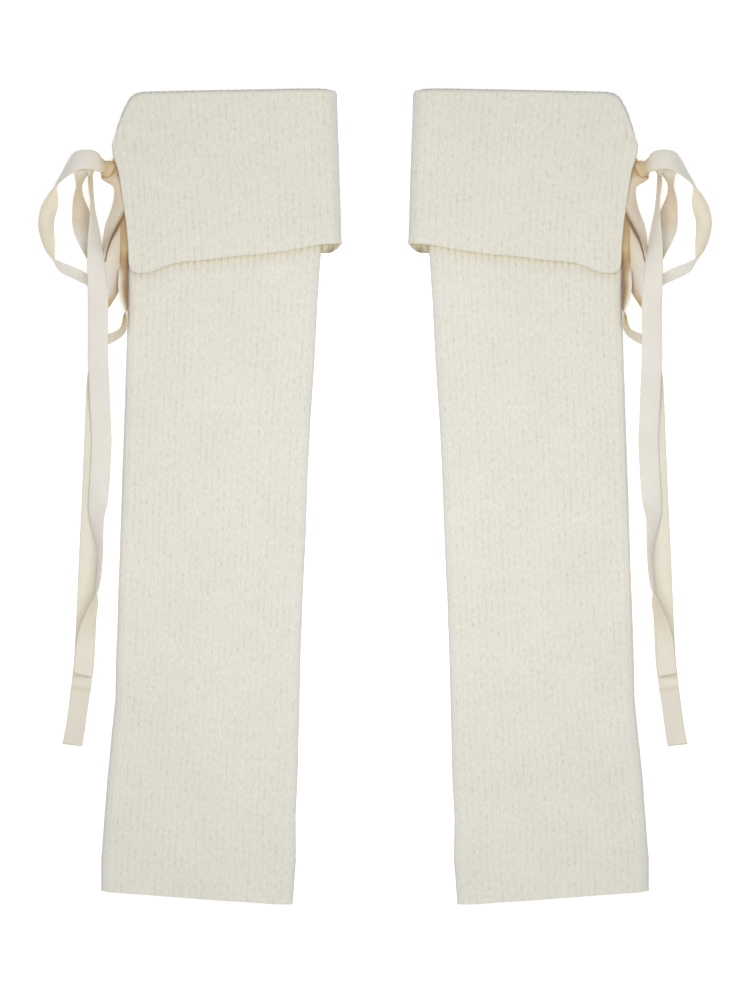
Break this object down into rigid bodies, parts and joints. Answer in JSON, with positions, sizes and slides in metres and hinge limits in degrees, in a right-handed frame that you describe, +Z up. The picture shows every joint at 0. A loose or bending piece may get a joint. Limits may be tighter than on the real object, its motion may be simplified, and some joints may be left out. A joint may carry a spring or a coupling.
{
  "type": "pair of leg warmers",
  "caption": "Long rib-knit leg warmers laid flat as a pair, each with a wide turned-down cuff, slit at its outer side and tied there with a flat ribbon bow.",
  "frame": {"origin": "middle of the underside of the two leg warmers as they lie, on the surface they rest on, the ribbon ties left out of the measure", "axes": "+Y runs up the legs from the hems to the cuffs, +Z is up from the surface, and the left leg warmer of the picture lies on -X"},
  "size_m": [0.5016, 0.6038, 0.022],
  "materials": {
    "rib_knit": "cream rib knit, matte",
    "cuff_knit": "cream rib knit, matte",
    "ribbon": "plain woven cotton tape, matte"
  },
  "bodies": {
    "root": {"left_leg_tube": "rib_knit", "left_cuff": "cuff_knit", "left_knot": "ribbon", "left_outer_loop": "ribbon", "left_inner_loop": "ribbon", "left_short_tail": "ribbon", "left_long_tail": "ribbon", "right_leg_tube": "rib_knit", "right_cuff": "cuff_knit", "right_knot": "ribbon", "right_outer_loop": "ribbon", "right_inner_loop": "ribbon", "right_short_tail": "ribbon", "right_long_tail": "ribbon"}
  },
  "joints": []
}
